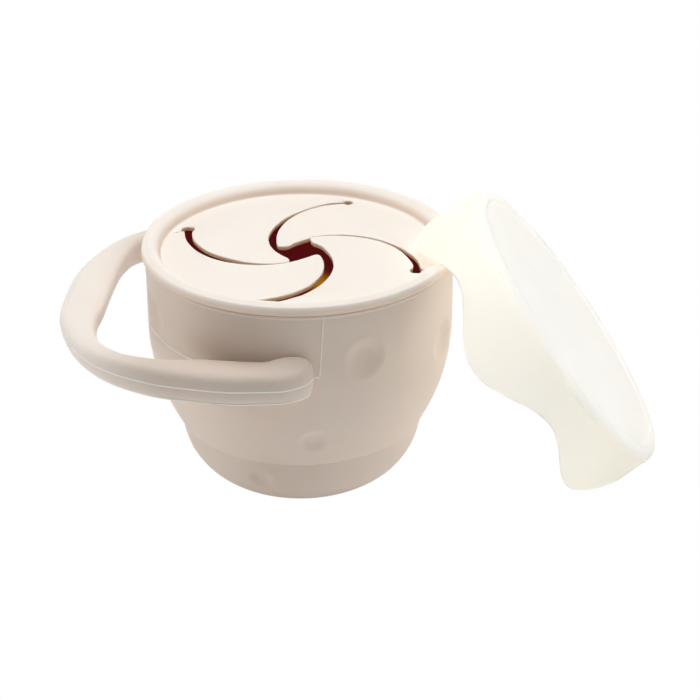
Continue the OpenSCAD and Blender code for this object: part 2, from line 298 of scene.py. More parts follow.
cupLook = {
    "colour": (0.775, 0.655, 0.555),
    "cloudColour": (0.795, 0.680, 0.585),
    # painted light on the grip
    "gripPaintedLight": (0.87, 0.80, 0.73),
    "gripPaintedLightAcross": (-0.070, -0.042),
    # the arms painted darker on top and lighter underneath
    "arm": (0.67, 0.57, 0.49),
    "armUnder": (0.82, 0.71, 0.62),
    "armHeights": (0.0535, 0.0625),
    "armFrom": 0.0492,
    "armTo": 0.0512,
    # painted shadow on the body above the near arm
    "paintedShade": (0.60, 0.485, 0.395),
    "paintedShadeAt": (-0.018, -0.046, 0.064),
    "paintedShadeSize": (0.004, 0.025),
    "paintedShadeDepth": 0.75,
    "roughness": 0.52,
    "through": 0.10,
}
lidLook = {
    "colour": (0.925, 0.845, 0.765),
    "cloudColour": (0.935, 0.862, 0.790),
    "roughness": 0.50,
    "through": 0.10,
    # painted warm tone and glow on the cut edges below the disc's top
    "edge": (0.95, 0.78, 0.60),
    "edgePaintedGlow": (0.12, 0.06, 0.02),
    "edgeHeights": (0.0772, 0.0779),
    # painted shade on the ring's upright sides
    "warm": (0.86, 0.71, 0.59),
    "warmHeights": (0.07815, 0.0786, 0.0796, 0.0814),
}
# painted highlight: the raised parting lines are a lighter tone, as where light catches their
# ridges
seamHighlightLook = {
    "colour": (0.96, 0.90, 0.83),
    "cloudColour": (0.96, 0.90, 0.83),
    "roughness": 0.50,
    "through": 0.10,
}
cupSilicone = softMoulding("cupSilicone", cupLook)
lidSilicone = softMoulding("lidSilicone", lidLook)
seamPaintedHighlight = softMoulding("seamPaintedHighlight", seamHighlightLook)
insideShadeAndGlow = paintedShadeInside("insideShadeAndGlow")
print("soft finishes made")

wallLow, wallHigh = nodeBox("cup_wall")
webFoot = nodeBox("fold_web")[0][2]
bowlHigh = nodeBox("base_bowl")[1]
cup = {
    "radius": (wallHigh[0] - wallLow[0]) / 2,
    "mouth": wallHigh[2],
    "webTop": wallLow[2],
    "webLow": webFoot,
    "bowlTop": bowlHigh[2],
    "bowlRadius": bowlHigh[0],
    "bandHeight": 25.1,  # straight band, from the mouth down
    "taperRound": 64.0,
    "bowlRound": 22.0,
    "wall": 2.2,
    "bead": 0.5,  # how far the bead stands inwards
    "beadHeight": 4.0,
    "mouthRound": 0.7,
    "floor": 2.6,
    "footEdge": -28,  # degrees around the bowl's round
    "foldReach": (-0.9, 0.7),  # the bowl gives way to the taper between these, around the fold
    "foldFill": 0.16,  # soft filling of the fold
    "foldSoft": 2.2,  # how far it spreads up and down
    "lipOut": 0.3,  # fine lip under the ring
    "lipAt": 77.6,
    "lipReach": (-0.75, -0.3, 0.3, 0.6),  # it starts, is full, and ends here, around lipAt
    "fineFold": 1.6,  # rows are close together this far from the fold, and this far below the lip
    "fineLip": 1.3,
    "dentFlat": 0.30,  # share of a dent's radius that has its full depth
    "dentRim": 0.10,  # rise of the rim around it, for each mm of depth
    "rimAt": 1.04,  # the rim's middle and its width, for each mm of the dent's radius
    "rimWide": 0.12,
    "beadRows": 7,  # rows over the mouth and down the bead that keep the outer finish
    "columns": 384,
}
cup["bandLow"] = cup["mouth"] - cup["bandHeight"]
cup["taperCentre"] = cup["radius"] - cup["taperRound"]
cup["bowlCentre"] = cup["bowlRadius"] - cup["bowlRound"]


def taperRadius(z, inset=0.0):  # the taper is an arc whose centre lies level with the band's foot
    drop = np.clip(cup["bandLow"] - z, 0, None)
    return cup["taperCentre"] + np.sqrt((cup["taperRound"] - inset) ** 2 - drop ** 2)


def bowlRadiusAt(z):  # the bowl's side is a quarter round
    drop = np.clip(cup["bowlTop"] - z, 0, None)
    return cup["bowlCentre"] + np.sqrt(cup["bowlRound"] ** 2 - drop ** 2)


def cupProfile():
    # (radius, height) from the foot's middle out and up to the mouth, then in and down again.
    # The bowl's round gives way to the taper's at the fold, and a lip stands out under the ring.
    rim, top = cup["mouthRound"], cup["mouth"]
    footAngle = -math.degrees(math.asin(cup["bowlTop"] / cup["bowlRound"]))
    centre = (cup["bowlCentre"], cup["bowlTop"])
    foot = arc(centre, cup["bowlRound"], footAngle, cup["footEdge"], 34)
    foldLow, foldHigh = cup["webLow"] - cup["fineFold"], cup["webLow"] + cup["fineFold"]
    lipLow = cup["lipAt"] - cup["fineLip"]
    z = np.concatenate([
        np.linspace(foot[-1, 1] + 0.4, foldLow, 14, endpoint=False),
        np.linspace(foldLow, foldHigh, 16, endpoint=False),
        np.linspace(foldHigh, lipLow, 92, endpoint=False),
        np.linspace(lipLow, top - rim, 18)])
    fold = ease(*(cup["webLow"] + reach for reach in cup["foldReach"]), z)
    r = bowlRadiusAt(np.minimum(z, cup["bowlTop"])) * (1 - fold) + taperRadius(z) * fold
    r += cup["foldFill"] * np.exp(-((z - cup["webLow"]) / cup["foldSoft"]) ** 2)
    lip = [cup["lipAt"] + reach for reach in cup["lipReach"]]
    r += cup["lipOut"] * ease(*lip[:2], z) * (1 - ease(*lip[2:], z))
    outside = np.stack([r, z], 1)
    inner, beadLow = cup["radius"] - cup["wall"] - cup["bead"], top - cup["beadHeight"]
    outerRound = arc((cup["radius"] - rim, top - rim), rim, 10, 90, 5)
    innerRound = arc((inner + rim, top - rim), rim, 90, 170, 5)
    bead = line((inner, top - rim - 0.1), (inner, beadLow), 4)
    z = np.concatenate([
        np.linspace(beadLow - 0.6, cup["bandLow"], 8, endpoint=False),
        np.linspace(cup["bandLow"], cup["webLow"] + 1.2, 26)])
    inside = np.stack([taperRadius(z, cup["wall"]), z], 1)
    innerRadius = cup["bowlRound"] - cup["wall"]
    innerFoot = -math.degrees(math.asin((cup["bowlTop"] - cup["floor"]) / innerRadius))
    bowl = arc(centre, innerRadius, -2, innerFoot, 16)
    floor = line((bowl[-1, 0] - 0.5, cup["floor"]), (1.0, cup["floor"]), 6, last=True)
    start = line((1.0, 0.0), (foot[0, 0] - 0.3, 0.0), 8)
    outer = np.concatenate([start, foot, outside, outerRound])
    return np.concatenate([outer, innerRound, bead, inside, bowl, floor]), len(outer)


def craters():  # [azimuth in degrees, height, radius, depth] of the shallow round dents
    large, small = 7.2, 4.8
    return [
        (-65, 61.5, 6.9, 1.35), (-22.5, 55, large, 1.8), (-84, 33, 5.0, 1.0),
        (-108.6, 14.2, 4.5, 0.9), (-158, 64.5, 7.7, 1.8),
        (14, 63, large, 1.0), (58, 63, large, 1.0), (131, 63, large, 1.0),
        (166, 40, 6.4, 0.9), (36, 48.5, small, 0.8), (79, 47, large, 0.9), (104, 56.5, small, 0.8),
        (150, 44, large, 0.9), (-172, 31, 5.2, 0.8), (24, 30.5, small, 0.8), (62, 31, small, 0.8),
        (118, 30, 5.2, 0.8), (-168, 13, small, 0.7), (8, 13, small, 0.7), (48, 12.5, small, 0.7),
        (92, 13.5, small, 0.7), (142, 13, small, 0.7),
    ]


def cupSkin():
    # The profile turned around Z. Each dent pushes the outside in along its normal, by a depth
    # that eases to nothing with the distance from its middle, and raises a faint rim around it.
    profile, outerRows = cupProfile()
    grid = revolved(profile, cup["columns"])
    outer = grid[:outerRows]
    along = np.gradient(profile[:outerRows], axis=0)
    along /= np.linalg.norm(along, axis=1)[:, None]
    outR, outZ = along[:, 1], -along[:, 0]
    a = np.linspace(0, 2 * math.pi, cup["columns"], endpoint=False)
    normal = np.stack(
        [outR[:, None] * np.cos(a), outR[:, None] * np.sin(a), outZ[:, None] + 0 * a], -1)
    push = np.zeros(outer.shape[:2])
    for azimuth, z, size, depth in craters():
        r = np.interp(z, profile[8:outerRows, 1], profile[8:outerRows, 0])
        turn = math.radians(azimuth)
        away = np.linalg.norm(outer - [r * math.cos(turn), r * math.sin(turn), z], axis=2)
        push -= depth * (1 - ease(size * cup["dentFlat"], size, away))
        fromRim = (away - size * cup["rimAt"]) / (size * cup["rimWide"])
        push += depth * cup["dentRim"] * np.exp(-fromRim ** 2)
    grid[:outerRows] = outer + normal * push[..., None]
    piece = skin("cupSkin", grid, cupSilicone)
    # the inner wall gets the painted shade and glow of the inside
    piece.data.materials.append(insideShadeAndGlow)
    faceRow = np.arange(len(piece.data.polygons)) // cup["columns"]
    paintedShadeFaces = faceRow > outerRows + cup["beadRows"]  # the inner wall, from near the bead's foot down
    piece.data.polygons.foreach_set("material_index", paintedShadeFaces.astype(np.int32))
    return piece


cupPiece = cupSkin()
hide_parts("cup_wall", "fold_web", "base_bowl")
print("cup made")


def onWall(azimuth, z):  # points on the cup's outer skin
    r, a = taperRadius(z), np.radians(azimuth)
    return np.stack([r * np.cos(a), r * np.sin(a), z], -1)


def cupSeams():  # the mould's thin raised parting lines, through points of azimuth and height
    size, level = 0.24, 57.4
    upright = [(-80.5, 78.4), (-80.7, 74.0), (-81.2, 68.0), (-81.7, 61.0), (-82.0, level + 0.3)]
    jog = [(-82.1, level), (-83.0, level), (-84.3, level)]
    around = [(-112.0, level - 0.4), (-135.0, level), (-150.0, level + 0.5), (-163.0, level + 0.5)]
    beyond = [(-turn, z) for turn, z in around]
    pieces = []
    routes = {"seamUpright": upright, "seamJog": jog, "seamAround": around, "seamBeyond": beyond}
    for name, route in routes.items():
        path = evenly(curveThrough(route, 12), 60)
        pieces.append(skin(name, tube(onWall(path[:, 0], path[:, 1]), size), seamPaintedHighlight))
    return pieces


for piece in cupSeams():
    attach(piece, "cup")


handle = {
    "middle": 57.9,  # height above the foot
    "reach": 12.9,  # length of a nose, along the wall
    "standOff": 10.4,  # how far a nose stands off the wall
    "sunk": 2.0,  # how far it goes into the wall
    "flare": 7.4,  # half height of the flare beside the wall
    "flareAt": -2.5,
    "flareFrom": -12.0,
    "noseFrom": -12.0,  # from here on, the section turns to lie square to the wall
    "wallSide": (0.65, -0.40),  # across the section, where the height beside the wall takes over
    "bossPower": 2.8,  # roundness of the flare, and of the section above and below its middle
    "topPower": 3.0,
    "lowPower": 3.7,
    "sides": 72,
    "steps": 16,
    "noseRings": 22,
    "panelFrom": -6.0,  # bare panel on top of the grip
    "panelTo": 19.0,
    "panelHalf": 4.5,
    "panelSoft": 0.3,
    "panelFade": (-7.0, 3.0),  # it fades out between these, around panelTo
    "panelStand": 0.16,
    "gripBeyond": -50,
    "seamAt": (0.04, 0.999),  # a line's height and side, as shares of the section's half sizes
    "edgeAt": (-0.72, 0.92),
    "armsFrom": -42,
    "noseEnd": 5,  # rows at a nose's end that have no edge line
    "seam": 0.22,  # radius of a parting line
    # x, y, half width, half height, from the root at -Y to the grip, and on to the root at +Y
    "near": [
        (-8.0, -53.25, 6.05, 5.5), (-14.0, -52.95, 6.5, 5.6), (-20.0, -52.6, 6.8, 5.6),
        (-30.0, -51.0, 6.5, 5.5), (-42.5, -49.2, 4.6, 5.4), (-56.0, -42.4, 3.4, 4.8),
        (-64.9, -31.1, 3.9, 4.2), (-69.4, -16.0, 5.4, 3.7), (-69.7, -2.5, 6.85, 3.5)],
    "far": [
        (-67.9, 19.0, 6.7, 3.6), (-63.9, 34.2, 5.2, 4.1), (-57.6, 44.6, 3.6, 4.8),
        (-46.5, 50.6, 3.9, 5.3), (-30.0, 51.8, 5.8, 5.4), (-20.0, 52.7, 6.4, 5.45),
        (-14.0, 53.0, 6.4, 5.45), (-8.0, 53.25, 6.05, 5.4)],
}


def handlePath():  # rows of x, y, half width, half height, from one root to the other
    path = curveThrough(handle["near"] + handle["far"], handle["steps"])
    share = np.sin(np.linspace(0, math.pi / 2, handle["noseRings"] + 1)[1:])
    noses = []
    for row in (path[0], path[-1]):  # a quarter ellipse, seen from above, into the wall
        outside = cup["radius"] + handle["standOff"] * np.sqrt(1 - share ** 2)
        inside = cup["radius"] - handle["sunk"]
        x = row[0] + handle["reach"] * share
        y = np.sign(row[1]) * (outside + inside) / 2
        noses.append(np.stack([x, y, (outside - inside) / 2, row[3] + 0 * x], 1))
    return np.concatenate([noses[0][::-1], path, noses[1]])


def handleAcrossAt(path):  # unit vectors in the plane, square to the path
    way = np.gradient(path[:, :2], axis=0)
    way /= np.linalg.norm(way, axis=1)[:, None]
    across = np.stack([way[:, 1], -way[:, 0]], 1)
    # the noses are cut straight across
    nose = ease(handle["noseFrom"], handle["near"][0][0], path[:, 0])[:, None]
    across = across * (1 - nose) + np.stack([0 * path[:, 0], np.sign(across[:, 1])], 1) * nose
    return across / np.linalg.norm(across, axis=1)[:, None]


def handleHeights(path):  # half heights on the outer side and beside the wall
    x = path[:, 0]
    share = np.clip(np.abs(x - handle["flareAt"]) / handle["flare"], 0, 0.9995)
    boss = handle["flare"] * (1 - share ** handle["bossPower"]) ** (1 / handle["bossPower"])
    growth = ease(handle["flareFrom"], handle["flareAt"], x)
    grown = path[:, 3] + (handle["flare"] - path[:, 3]) * growth
    beside = np.where(x < handle["flareAt"], grown, boss)
    return np.minimum(path[:, 3], beside), beside


def handleSkin():
    # Each ring across the path is a rounded box, |u|^n + |v|^n = 1, squarer in its lower half
    path = handlePath()
    across = handleAcrossAt(path)
    if across[len(path) // 2, 0] > 0:  # they point outwards from the loop
        across = -across
    outer, beside = handleHeights(path)
    a = np.linspace(0, 2 * math.pi, handle["sides"], endpoint=False)
    power = np.where(np.sin(a) >= 0, 2 / handle["topPower"], 2 / handle["lowPower"])
    u = np.sign(np.cos(a)) * np.abs(np.cos(a)) ** power
    v = np.sign(np.sin(a)) * np.abs(np.sin(a)) ** power
    height = outer[:, None] + (beside - outer)[:, None] * ease(*handle["wallSide"], u)[None]
    x = path[:, 0:1] + path[:, 2:3] * u * across[:, 0:1]
    y = path[:, 1:2] + path[:, 2:3] * u * across[:, 1:2]
    z = handle["middle"] + height * v
    # a low bare panel on top of the grip
    side, soft = path[:, 2:3] * u, handle["panelSoft"]
    inside = (ease(handle["panelFrom"] - soft, handle["panelFrom"] + soft, y)
              * (1 - ease(*(handle["panelTo"] + fade for fade in handle["panelFade"]), y))
              * (1 - ease(handle["panelHalf"] - soft, handle["panelHalf"] + soft, np.abs(side)))
              * (v > 0) * (path[:, 0:1] < handle["gripBeyond"]))
    return np.stack([x, y, z + handle["panelStand"] * inside], -1), path, across


handleGrid, handleRows, handleAcross = handleSkin()
handlePiece = skin("handleSkin", handleGrid, cupSilicone)
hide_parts("handle")


def handleSeam(name, at, rows):  # a parting line on the outer side of the loop
    rise, share = at
    path, across = handleRows[rows], handleAcross[rows]
    outer, _ = handleHeights(path)
    xy = path[:, :2] + across * (path[:, 2:3] * share)
    z = handle["middle"] + outer * rise
    way = evenly(np.concatenate([xy, z[:, None]], 1), 320)
    return skin(name, tube(way, handle["seam"]), seamPaintedHighlight)


# rows of the two straight arms, short of the noses' ends
arms = np.flatnonzero(handleRows[:, 0] > handle["armsFrom"])
arms = arms[(arms >= handle["noseEnd"]) & (arms < len(handleRows) - handle["noseEnd"])]
seamPieces = [
    handleSeam("handleSeam", handle["seamAt"], np.arange(1, len(handleRows) - 1)),
    handleSeam("handleEdgeNear", handle["edgeAt"], arms[handleRows[arms, 1] < 0]),
    handleSeam("handleEdgeFar", handle["edgeAt"], arms[handleRows[arms, 1] > 0]),
]
for piece in [handlePiece] + seamPieces:
    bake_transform(piece)
cup["webTop"] * mm
cup["bowlTop"] * mm
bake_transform(cupPiece)
print("handle made")


ringHigh = nodeBox("lid_ring")[1]
lid = {
    "outer": ringHigh[0],
    "top": ringHigh[2],
    "inner": 44.2,
    "recess": 3.9,  # depth of the disc below the top
    "thick": 1.5,
    "show": 3.5,  # height of the ring outside
    "roundIn": 3.5,
    "crownDrop": 0.6,  # fall of the crown towards the outside
    "shoulder": (0.75, 2.0),  # width and height of the outer shoulder
    "lip": 0.5,
    "cove": 0.9,
    "foot": 1.2,  # parts out of sight
    "groove": (46.0, 48.95),
    "grooveAbove": 0.2,
    "underAbove": 0.15,
    "hidden": 0.7,  # how far pieces reach on under each other
    "sink": 0.005,  # how far they sink there
    "turn": 156.4,  # bearing of the left slit
    "slitCentre": (17.0, -9.0),  # centre of a slit's edges, before it is turned
    "edge": 0.35,  # rounding of a cut edge
    "lowEdge": 0.6,  # share of it that the lower edge has
    "edgeMost": 0.3,  # share of a narrow tip's width that it may take up
}
lid["disc"] = lid["top"] - lid["recess"]
lid["under"] = lid["disc"] - lid["thick"]
lid["plate"] = lid["inner"] - lid["cove"]


def ringProfile():
    # Closed section of the ring: a foot hidden in the plate, the cove, the inner round, a
    # crown that falls a little outwards as a power of its width, an elliptic shoulder, the
    # outer lip and the groove that grips the cup
    c, top, disc, low = lid["cove"], lid["top"], lid["disc"], lid["top"] - lid["show"]
    foot = np.array([(lid["plate"] - lid["foot"], disc - 0.03)])
    cove = arc((lid["plate"], disc + c), c, -90, 0, 14)
    inside = lid["inner"] + lid["roundIn"]
    crownIn = arc((inside, top - lid["roundIn"]), lid["roundIn"], 180, 90, 14)
    wide, tall = lid["shoulder"]
    t = np.linspace(0, 1, 10)[:, None]
    edge = lid["outer"] - wide
    crown = np.concatenate([inside + (edge - inside) * t, top - lid["crownDrop"] * t ** 1.3], 1)
    corner = [edge, top - lid["crownDrop"] - tall] + arc((0, 0), 1, 82, 0, 11) * [wide, tall]
    lip = arc((lid["outer"] - lid["lip"], low + lid["lip"]), lid["lip"], 0, -90, 6)
    grooveIn, grooveOut = lid["groove"]
    roof, under = cup["mouth"] + lid["grooveAbove"], lid["under"] + lid["underAbove"]
    rest = [(grooveOut, low), (grooveOut, roof), (grooveIn, roof), (grooveIn, under),
            (lid["plate"] - lid["foot"], under)]
    return np.concatenate([foot, cove, crownIn, crown, corner, lip, np.array(rest)])


ringGrid = np.swapaxes(revolved(ringProfile(), 288), 0, 1)
ringPiece = skin("lidRing", ringGrid, lidSilicone, looped=True)

# Each slit's end hole, and its two edges as (angle, radius) around the slit's own centre
slits = {
    0: {
        "hole": (39.65, 0.25),
        "holeRadius": 2.15,
        "out": [(20, 26.2), (27, 25.4), (40, 25.48), (48, 25.59), (55, 25.8), (69, 26.33),
            (81, 26.68), (95, 26.85), (110, 26.95), (125, 26.85), (146, 26.9)],
        "in": [(20, 22.9), (30, 23.05), (42, 23.3), (55, 23.35), (67, 23.57), (79, 23.78),
            (90, 24.15), (104, 25.15), (117, 25.95), (127, 26.35), (136, 26.5)],
    },
    1: {
        "hole": (40.2, 0.6),
        "holeRadius": 1.6,
        "out": [(20, 25.6), (35, 25.4), (47, 24.5), (63, 23.7), (79, 23.6), (95, 23.9), (110, 24.6),
            (122, 25.4), (134, 25.7), (146, 25.7), (160, 26.8)],
        "in": [(20, 24.3), (41, 23.9), (53, 23.3), (68, 22.6), (85, 22.1), (104, 22.1), (120, 22.7),
            (133, 23.6), (140, 24.1)],
    },
    2: {
        "hole": (40.35, -0.4),
        "holeRadius": 2.15,
        "out": [(20, 26.1), (27.6, 26.0), (38, 25.92), (48, 25.66), (55, 25.55), (63, 25.6),
            (72, 25.6), (81, 25.83), (89, 26.0), (96, 26.05), (103, 26.1), (110, 26.2),
            (122, 25.95), (132, 25.8), (146, 26.2)],
        "in": [(20, 23.3), (25.8, 23.75), (29.7, 24.0), (34.3, 23.95), (40.4, 23.83), (49.4, 23.89),
            (58, 24.12), (70, 24.5), (80, 24.82), (88, 24.97), (103, 25.15), (110, 25.3),
            (122, 25.45), (133, 25.5)],
    },
    3: {
        "hole": (39.85, -0.4),
        "holeRadius": 0.4,
        "out": [(20, 24.35), (21, 24.5), (25.7, 25.15), (30.3, 25.97), (35.1, 26.99), (39.2, 27.9),
            (40.5, 28.0), (48.8, 27.75), (60, 27.4), (70, 26.9), (82, 26.4), (96, 26.05),
            (110, 26.0), (125, 26.0), (140, 26.0), (155, 25.5)],
        "in": [(20, 24.1), (25.7, 24.72), (30.4, 25.15), (34.7, 25.2), (40.3, 24.88), (52, 24.6),
            (66, 24.2), (75, 24.0), (86, 23.55), (96, 23.33), (110, 23.1), (123, 22.9),
            (132, 22.7)],
    },
}
print("ring made")


def turned(points, degrees):  # around Z
    a = math.radians(degrees)
    spin = np.array([[math.cos(a), math.sin(a)], [-math.sin(a), math.cos(a)]])
    return np.asarray(points, float) @ spin


def slitAngle(k):  # 0 is the left slit, then clockwise seen from above
    return lid["turn"] - 90 * k


def slitEdge(k, side, start, end, count):  # points in lid coordinates along one edge
    table = np.array(slits[k][side], float)
    smooth = curveThrough(table, 10)
    a = np.linspace(start, end, count)
    r = np.interp(a, smooth[:, 0], smooth[:, 1])
    rad = np.radians(a)
    xy = lid["slitCentre"] + np.stack([r * np.cos(rad), r * np.sin(rad)], 1)
    return turned(xy, slitAngle(k))


def holeArc(k, start, end, count):  # points around a slit's end hole, angles in the slit's frame
    a = np.radians(np.linspace(start, end, count))
    xy = slits[k]["hole"] + slits[k]["holeRadius"] * np.stack([np.cos(a), np.sin(a)], 1)
    return turned(xy, slitAngle(k))


def holeCentre(k):
    return turned([slits[k]["hole"]], slitAngle(k))[0]


# Angle at which each petal's bending line meets its first slit
touch = {0: 58.0, 1: 40.0, 2: 55.0, 3: 47.0}
# How each petal's two sides run into its tip: the angle at which each side leaves its slit's
# edge, then its points seen from above
tips = {
    0: {
        "firstEnd": 130,
        "first": [(-2.9, -9.95), (-1.6, -9.2), (0.18, -8.1), (2.68, -6.24), (4.3, -4.9),
            (5.1, -4.4), (5.7, -4.27)],
        "secondEnd": 118,
        "second": [(7.72, -8.8), (7.35, -7.0), (7.0, -5.7), (6.55, -4.8), (5.95, -4.33)],
    },
    1: {
        "firstEnd": 128,
        "first": [(-9.3, 2.95), (-7.75, -1.05), (-6.05, -3.8), (-4.6, -5.6), (-3.8, -6.35),
            (-3.25, -7.2), (-2.95, -8.1), (-3.0, -8.95), (-3.3, -9.65)],
        "secondEnd": 127,
        "second": [(-4.5, -10.22), (-3.5, -9.85)],
    },
    2: {
        "firstEnd": 130,
        "first": [(3.75, 9.3), (3.2, 8.7), (2.55, 7.95), (1.5, 7.25), (-1.16, 5.05), (-3.2, 2.75),
            (-4.2, 2.1), (-5.2, 1.93)],
        "secondEnd": 130,
        "second": [(-7.2, 4.0), (-6.98, 2.95), (-6.5, 2.25), (-5.5, 1.93)],
    },
    3: {
        "firstEnd": 138,
        "first": [(7.4, 1.65), (5.9, 3.5), (4.65, 4.55), (3.95, 5.55), (3.6, 6.7), (3.4, 7.7),
            (3.35, 8.5)],
        "secondEnd": 130,
        "second": [(4.0, 9.1), (3.5, 8.8)],
    },
}


def bearing(k, point, centre):  # angle of a point around a centre, in slit k's frame
    way = np.asarray(point) - centre
    return (math.degrees(math.atan2(way[1], way[0])) - slitAngle(k) + 180) % 360 - 180


def petalSides(k):
    # The first side runs along the outer edge of slit k, the second along the inner edge of
    # the next slit; both start on the bending line and meet at the tip
    n = (k - 1) % 4
    tip = tips[k]
    first = slitEdge(k, "out", touch[k], tip["firstEnd"], 70)
    second = slitEdge(n, "in", 26, tip["secondEnd"], 60)
    hole = holeCentre(n)
    start, end = bearing(n, first[0], hole), bearing(n, second[0], hole)
    if end > start:
        end -= 360
    second = np.concatenate([holeArc(n, start, end, 14)[:-1], second])
    first = np.concatenate([first, curveThrough(np.concatenate([first[-1:], tip["first"]]), 8)[1:]])
    runIn = curveThrough(np.concatenate([second[-1:], tip["second"]]), 8)[1:]
    return evenly(first, 150), evenly(np.concatenate([second, runIn]), 150)


topShares = [0, 0.012, 0.03, 0.08, 0.16, 0.28, 0.4, 0.5, 0.6, 0.72, 0.84, 0.92, 0.97, 0.988, 1]


def crossSection(a, b, normalA, normalB, fitA, fitB, reach=0.0, sink=0.0):
    # Rings of points around slices: top from a to b, rounded edge, bottom back, rounded edge.
    # Where the a side reaches on under its neighbour, it sinks a little on the way.
    top, low, lower = lid["disc"] - sink, lid["under"] + sink, lid["lowEdge"]
    fitA, fitB = np.asarray(fitA)[:, None], np.asarray(fitB)[:, None]
    reach = np.zeros_like(fitA) + np.reshape(reach, (-1, 1))
    slack = lid["sink"] * reach / lid["hidden"]
    flatA, flatB = a + normalA * fitA, b + normalB * fitB
    level = np.zeros(len(a))[:, None]
    turn = np.linspace(0, 1, 6)[1:]
    rows = [(flatA * (1 - t) + flatB * t, top + level) for t in topShares]
    for t in turn:
        q = t * math.pi / 2
        rows.append((flatB - normalB * fitB * math.sin(q), top - fitB * (1 - math.cos(q))))
    rows.append((b, low + fitB * lower))
    rows.append((b + normalB * fitB * lower, low + level))
    rows.append((a + normalA * fitA * lower, low + level))
    rows.append((a - normalA * reach, low + fitA * lower + slack))
    for t in turn[::-1]:
        q = t * math.pi / 2
        out = fitA * math.sin(q) + reach * t
        rows.append((flatA - normalA * out, top - fitA * (1 - math.cos(q)) - slack * t))
    return np.stack([np.concatenate([xy, np.reshape(z, (-1, 1))], 1) for xy, z in rows], 1)


def sideNormal(points, other):  # unit vectors in the plane, square to the edge, to the other side
    way = np.gradient(points, axis=0)
    normal = np.stack([-way[:, 1], way[:, 0]], 1)
    normal /= np.linalg.norm(normal, axis=1)[:, None] + 1e-12
    flip = np.sign((normal * (other - points)).sum(1))
    flip[flip == 0] = 1
    return normal * np.sign(np.median(flip))


def bendLine(first, second):
    # The line across a petal's root, its middle, and the unit vector square to it, inwards
    seam, middle = second[0] - first[0], (first[0] + second[0]) / 2
    inward = np.array([-seam[1], seam[0]]) / np.linalg.norm(seam)
    return seam, middle, -inward if inward @ middle > 0 else inward


def petal(k, name):
    # A flat sheet ruled between its two sides, slice by slice, with rounded edges
    first, second = petalSides(k)
    normalA, normalB = sideNormal(first, second), sideNormal(second, first)
    width = np.linalg.norm(second - first, axis=1)
    facing = np.maximum((1 - (normalA * normalB).sum(1)) / 2, 0.02)
    fit = np.minimum(lid["edge"], width * lid["edgeMost"] / facing)
    # one more slice behind the bending line, hidden in the plate
    seam, _, inward = bendLine(first, second)
    back = -inward * lid["hidden"]
    a = np.concatenate([[first[0] + seam * 0.04 + back], first])
    b = np.concatenate([[second[0] - seam * 0.04 + back], second])
    rim = np.concatenate([fit[:1], fit])
    sink = np.zeros((len(a), 1))
    sink[0] = lid["sink"]
    normalA, normalB = (np.concatenate([normal[:1], normal]) for normal in (normalA, normalB))
    grid = crossSection(a, b, normalA, normalB, rim, rim, sink=sink)
    return skin(name, grid, lidSilicone), first, second


flapOf = {1: "flap_1", 2: "flap_2", 3: "flap_3", 0: "flap_4"}
petals = {}
for k, node in flapOf.items():
    piece, first, second = petal(k, "petal" + node[-1])
    petals[k] = (first, second)
    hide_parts(node)
    _, middle, inward = bendLine(first, second)
    start, end = middle * mm, (middle + inward * 5.0) * mm
    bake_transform(piece)
print("petals made")


def plateInner():
    # The fixed plate's inner outline, counter-clockwise: for each point the bearing it looks
    # towards on the outer circle, how much of the edge rounding it keeps, and how far it
    # reaches on under the petal
    points, looks, keeps, reaches = [], [], [], []
    lookFrom, lookHole, lookTo = -8, 6.5, 82  # the hole's first and last bearing, the petal's last
    for k in (0, 3, 2, 1):  # counter-clockwise from the left slit's hole
        first, second = petals[k]
        edge = slitEdge(k, "out", 25, touch[k], 22)
        hole = holeCentre(k)
        end = bearing(k, edge[0], hole)
        start = bearing(k, petals[(k + 1) % 4][0][0], hole)
        ring = holeArc(k, start, end if end > start else end + 360, 26)[:-1]
        seam = second[0] - first[0]
        long = np.linalg.norm(seam)
        # points along the bending line, closer together at both ends
        steps = np.concatenate([np.linspace(0.3, 3.6, 12), np.linspace(4.4, long - 1.6, 24),
                                long - np.array([1.2, 0.8, 0.6, 0.45, 0.3, 0.15, 0.0])])
        bend = first[0] + seam * (steps / long)[:, None]
        points += [ring, edge, bend]
        edgeEnd = bearing(k, edge[-1], 0.0) + 1.0
        looks += [np.linspace(lookFrom, lookHole, len(ring)) + slitAngle(k),
                  np.linspace(lookHole + 0.1, edgeEnd, len(edge)) + slitAngle(k),
                  np.linspace(edgeEnd, lookTo, len(bend) + 2)[1:-1] + slitAngle(k)]
        fade = 1 - ease(0.0, 3.2, steps) * ease(0.0, 0.6, long - steps)
        keeps += [np.ones(len(ring) + len(edge)), fade]
        hide = np.minimum(lid["hidden"] * ease(0.0, 0.6, long - steps), steps ** 2 / 90)
        reaches += [np.zeros(len(ring) + len(edge)), hide]
    return [np.concatenate(each) for each in (points, looks, keeps, reaches)]


def platePiece():
    inner, look, keep, reach = plateInner()
    a = np.radians(look)
    spoke = np.stack([np.cos(a), np.sin(a)], 1)
    outer = (lid["plate"] + lid["hidden"]) * spoke
    way = np.roll(inner, -1, 0) - np.roll(inner, 1, 0)
    normal = np.stack([way[:, 1], -way[:, 0]], 1)
    normal /= np.linalg.norm(normal, axis=1)[:, None] + 1e-12
    grid = crossSection(inner, outer, normal, -spoke, lid["edge"] * keep, 0.0 * keep, reach)
    return skin("lidPlate", grid, lidSilicone, looped=True)


plate = platePiece()
for piece in (ringPiece, plate):
    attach(piece, "lid")
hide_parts("lid_ring")
print("lid made")


